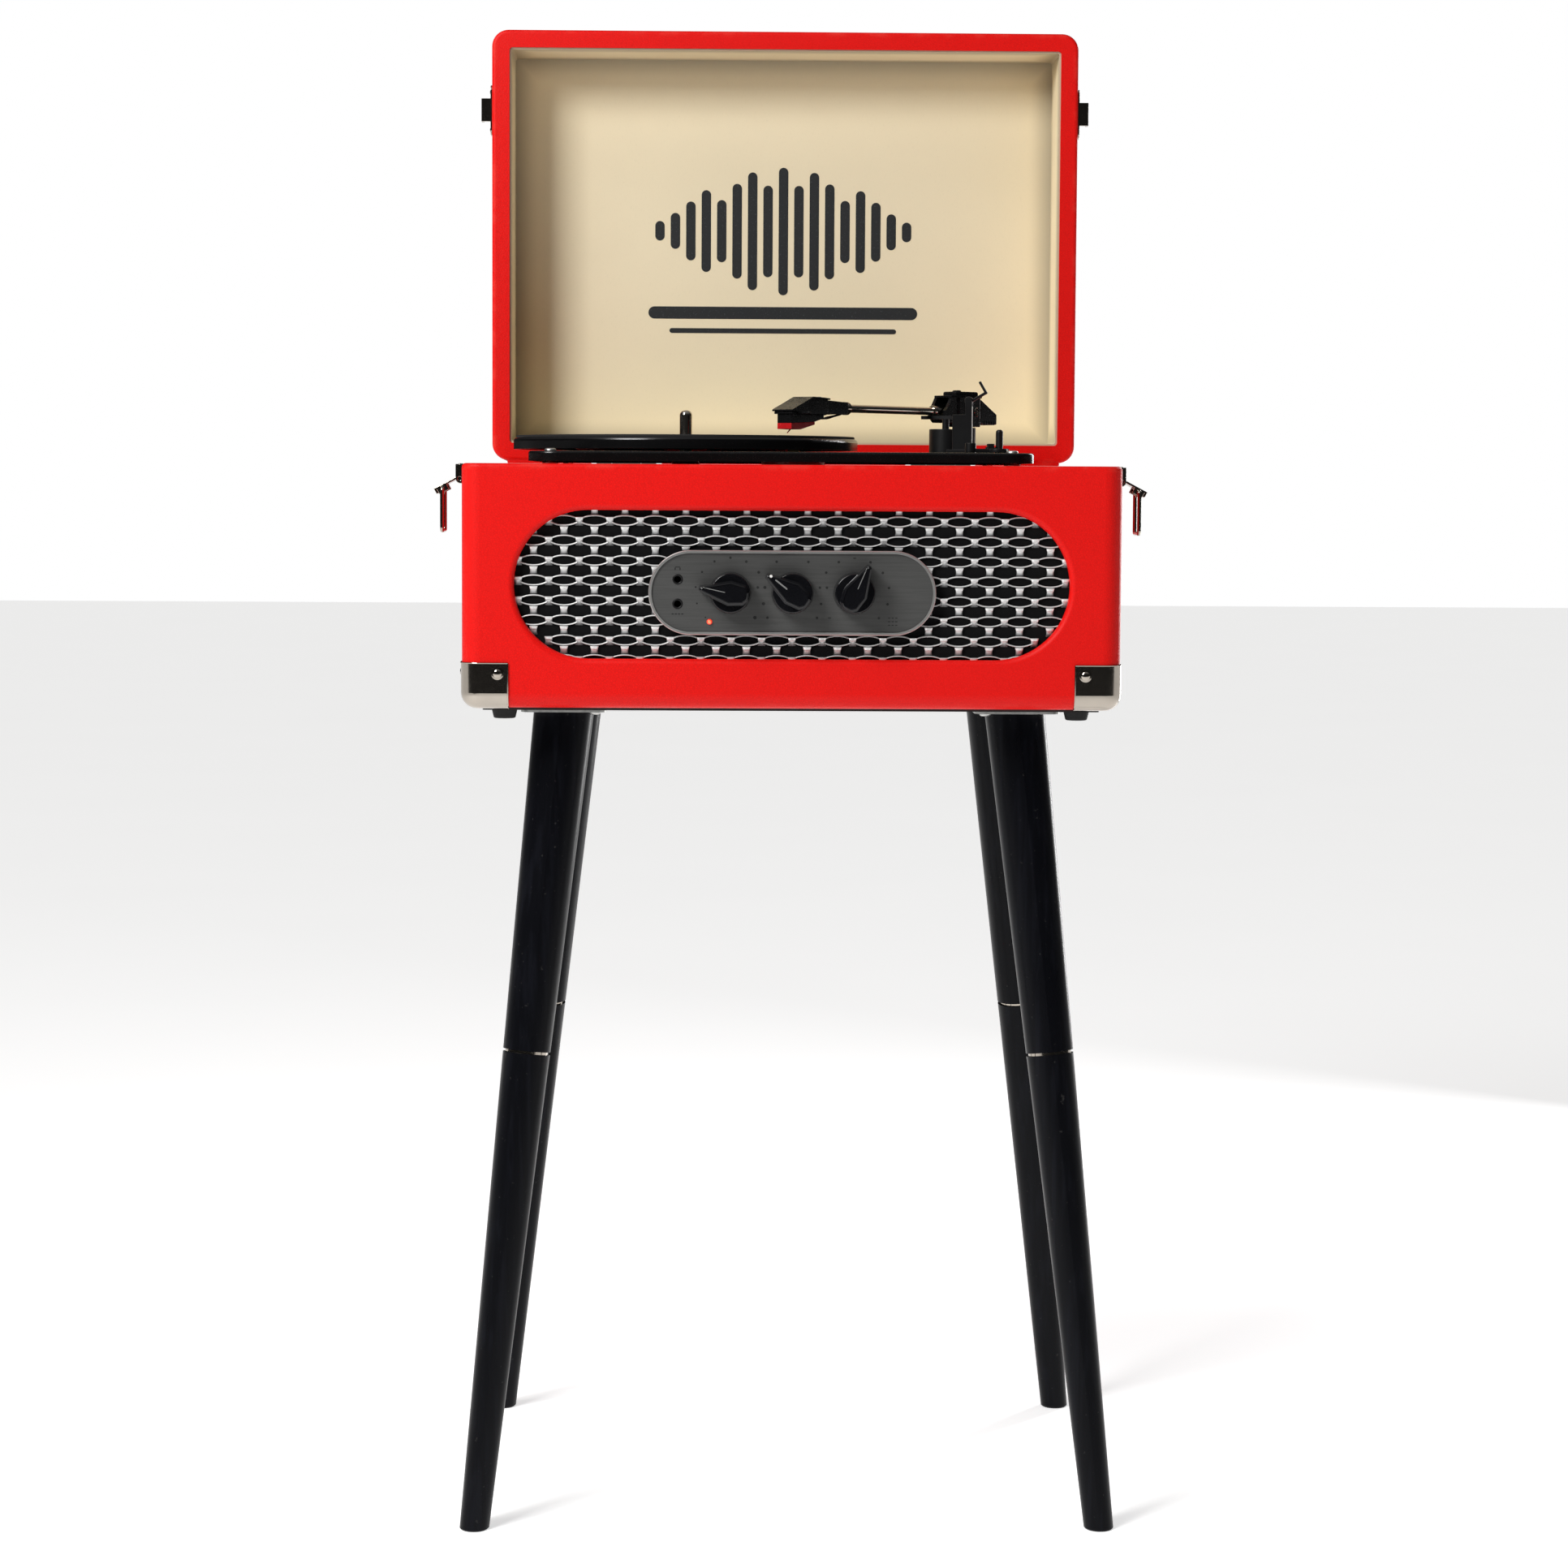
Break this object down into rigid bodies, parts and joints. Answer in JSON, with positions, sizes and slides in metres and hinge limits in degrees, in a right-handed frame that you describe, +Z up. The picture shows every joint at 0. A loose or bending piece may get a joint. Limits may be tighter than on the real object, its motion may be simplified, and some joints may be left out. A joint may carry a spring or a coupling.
{
  "type": "suitcase record player",
  "caption": "Suitcase record player with an open lid, grille and knobs in front, on splayed screw-in legs.",
  "frame": {"origin": "middle of the underside of the whole object's box with the lid open, on the floor between the feet", "axes": "+X to the right seen from the front, +Y to the rear, +Z up; the control plate faces -Y"},
  "size_m": [0.3866, 0.3334, 0.8361],
  "materials": {
    "red_leatherette": "satin grained",
    "cream_lining": "matte",
    "black_board": "matte painted",
    "black_lacquer": "satin lacquer",
    "silver_mesh": "satin silver",
    "black_cloth": "woven",
    "speaker_parts": "satin",
    "grey_plate": "satin anodised",
    "black_knob": "gloss",
    "black_plastic": "fine texture",
    "platter_black": "satin",
    "mat_rubber": "matte",
    "red_lens": "clear",
    "stylus_red": "gloss",
    "circuit_board": "satin",
    "zinc_steel": "zinc plated",
    "bright_nickel": "polished nickel",
    "brass_parts": "machined"
  },
  "bodies": {
    "case": {"case_body": "red_leatherette", "bottom_panel": "black_board", "deck_panel": "red_leatherette", "grille_mesh": "silver_mesh", "grille_cloth": "black_cloth", "speaker_baffle": "black_board", "speakers": "speaker_parts", "control_plate": "grey_plate", "headphone_jacks": "black_plastic", "led_lens": "red_lens", "amplifier_board": "circuit_board", "potentiometers": "zinc_steel", "rear_plate": "black_plastic", "rear_sockets": "bright_nickel", "rubber_feet": "mat_rubber", "base_corner_guards": "bright_nickel", "case_screws": "zinc_steel", "upper_legs": "black_lacquer", "lower_legs": "black_lacquer", "leg_rings": "bright_nickel", "leg_studs": "zinc_steel", "leg_mount_plates": "zinc_steel", "hinge_case_leaves": "bright_nickel", "pivot_pins": "bright_nickel", "latch_bases": "bright_nickel", "chassis": "black_plastic", "suspension_springs": "zinc_steel", "chassis_screws": "zinc_steel", "drive_motor": "zinc_steel", "drive_belt": "mat_rubber", "spindle": "bright_nickel", "tonearm_base": "black_plastic", "arm_rest": "black_plastic"},
    "lid": {"lid_shell": "red_leatherette", "lid_lining": "cream_lining", "lid_catches": "bright_nickel", "lid_corner_guards": "bright_nickel", "hinge_lid_leaves": "bright_nickel"},
    "platter": {"platter": "platter_black", "platter_bush": "brass_parts", "platter_mat": "mat_rubber"},
    "pulley": {"motor_pulley": "brass_parts"},
    "yoke": {"tonearm_yoke": "black_plastic"},
    "arm": {"arm_tube": "bright_nickel", "counterweight": "zinc_steel", "headshell": "black_plastic", "cartridge": "black_plastic", "stylus": "stylus_red"},
    "cue_lever": {"cue_lever": "black_plastic"},
    "cue_platform": {"cue_platform": "black_plastic"},
    "arm_clip": {"arm_clip": "black_plastic"},
    "speed_lever": {"speed_lever": "black_plastic"},
    "auto_stop": {"auto_stop_switch": "black_plastic"},
    "volume_knob": {"volume_knob": "black_knob"},
    "source_knob": {"source_knob": "black_knob"},
    "tone_knob": {"tone_knob": "black_knob"},
    "latch_lever_left": {"latch_lever_left": "bright_nickel"},
    "latch_lever_right": {"latch_lever_right": "bright_nickel"},
    "latch_loop_left": {"latch_loop_left": "bright_nickel"},
    "latch_loop_right": {"latch_loop_right": "bright_nickel"}
  },
  "joints": [
    {"name": "lid_hinge", "type": "hinge", "parent": "case", "child": "lid", "pos_m": [0, 0.10795, 0.5757], "axis": [1, 0, 0], "range_deg": [0, 90]},
    {"name": "platter_spin", "type": "hinge", "parent": "case", "child": "platter", "pos_m": [-0.058, -0.02335, 0.5905], "axis": [0, 0, -1], "continuous": true},
    {"name": "motor_spin", "type": "hinge", "parent": "case", "child": "pulley", "pos_m": [0.00175, -0.07349, 0.5845], "axis": [0, 0, -1], "continuous": true},
    {"name": "tonearm_swing", "type": "hinge", "parent": "case", "child": "yoke", "pos_m": [0.105, 0.03865, 0.6075], "axis": [0, 0, 1], "range_deg": [-10, 33]},
    {"name": "tonearm_lift", "type": "hinge", "parent": "yoke", "child": "arm", "pos_m": [0.105, 0.03865, 0.6075], "axis": [-0.7615, 0.6481, 0], "range_deg": [0, 2.02]},
    {"name": "cue_lever_turn", "type": "hinge", "parent": "case", "child": "cue_lever", "pos_m": [0.123, 0.01665, 0.5855], "axis": [1, 0, 0], "range_deg": [0, 70.1]},
    {"name": "cue_platform_rise", "type": "slide", "parent": "case", "child": "cue_platform", "axis": [0, 0, 1], "range_m": [0, 0.00119]},
    {"name": "arm_clip_turn", "type": "hinge", "parent": "case", "child": "arm_clip", "pos_m": [0.10164, -0.0315, 0.61254], "axis": [-0.1288, -0.9917, 0], "range_deg": [0, 150]},
    {"name": "speed_lever_turn", "type": "hinge", "parent": "case", "child": "speed_lever", "pos_m": [0.112, -0.11135, 0.5825], "axis": [0, 0, 1], "range_deg": [-18, 18]},
    {"name": "auto_stop_slide", "type": "slide", "parent": "case", "child": "auto_stop", "axis": [0, 1, 0], "range_m": [0, 0.006]},
    {"name": "volume_knob_turn", "type": "hinge", "parent": "case", "child": "volume_knob", "pos_m": [-0.033, -0.15855, 0.5075], "axis": [0, 1, 0], "range_deg": [-68, 232]},
    {"name": "source_knob_turn", "type": "hinge", "parent": "case", "child": "source_knob", "pos_m": [0, -0.15855, 0.5075], "axis": [0, 1, 0], "range_deg": [-94, 206]},
    {"name": "tone_knob_turn", "type": "hinge", "parent": "case", "child": "tone_knob", "pos_m": [0.033, -0.15855, 0.5075], "axis": [0, 1, 0], "range_deg": [-178, 122]},
    {"name": "latch_lever_left_turn", "type": "hinge", "parent": "case", "child": "latch_lever_left", "pos_m": [-0.1792, -0.10435, 0.5672], "axis": [0, -1, 0], "range_deg": [-60, 10]},
    {"name": "latch_loop_left_swing", "type": "hinge", "parent": "latch_lever_left", "child": "latch_loop_left", "pos_m": [-0.18865, -0.10435, 0.56218], "axis": [0, -1, 0], "range_deg": [-120, 12]},
    {"name": "latch_lever_right_turn", "type": "hinge", "parent": "case", "child": "latch_lever_right", "pos_m": [0.1792, -0.10435, 0.5672], "axis": [0, 1, 0], "range_deg": [-60, 10]},
    {"name": "latch_loop_right_swing", "type": "hinge", "parent": "latch_lever_right", "child": "latch_loop_right", "pos_m": [0.18865, -0.10435, 0.56218], "axis": [0, 1, 0], "range_deg": [-120, 12]}
  ],
  "couplings": [
    {"joint": "motor_spin", "follows": "platter_spin", "ratio": 29.524},
    {"joint": "tonearm_lift", "follows": "cue_platform_rise", "rad_per_m": 29.418},
    {"joint": "cue_lever_turn", "follows": "cue_platform_rise", "rad_per_m": 1029.6}
  ]
}
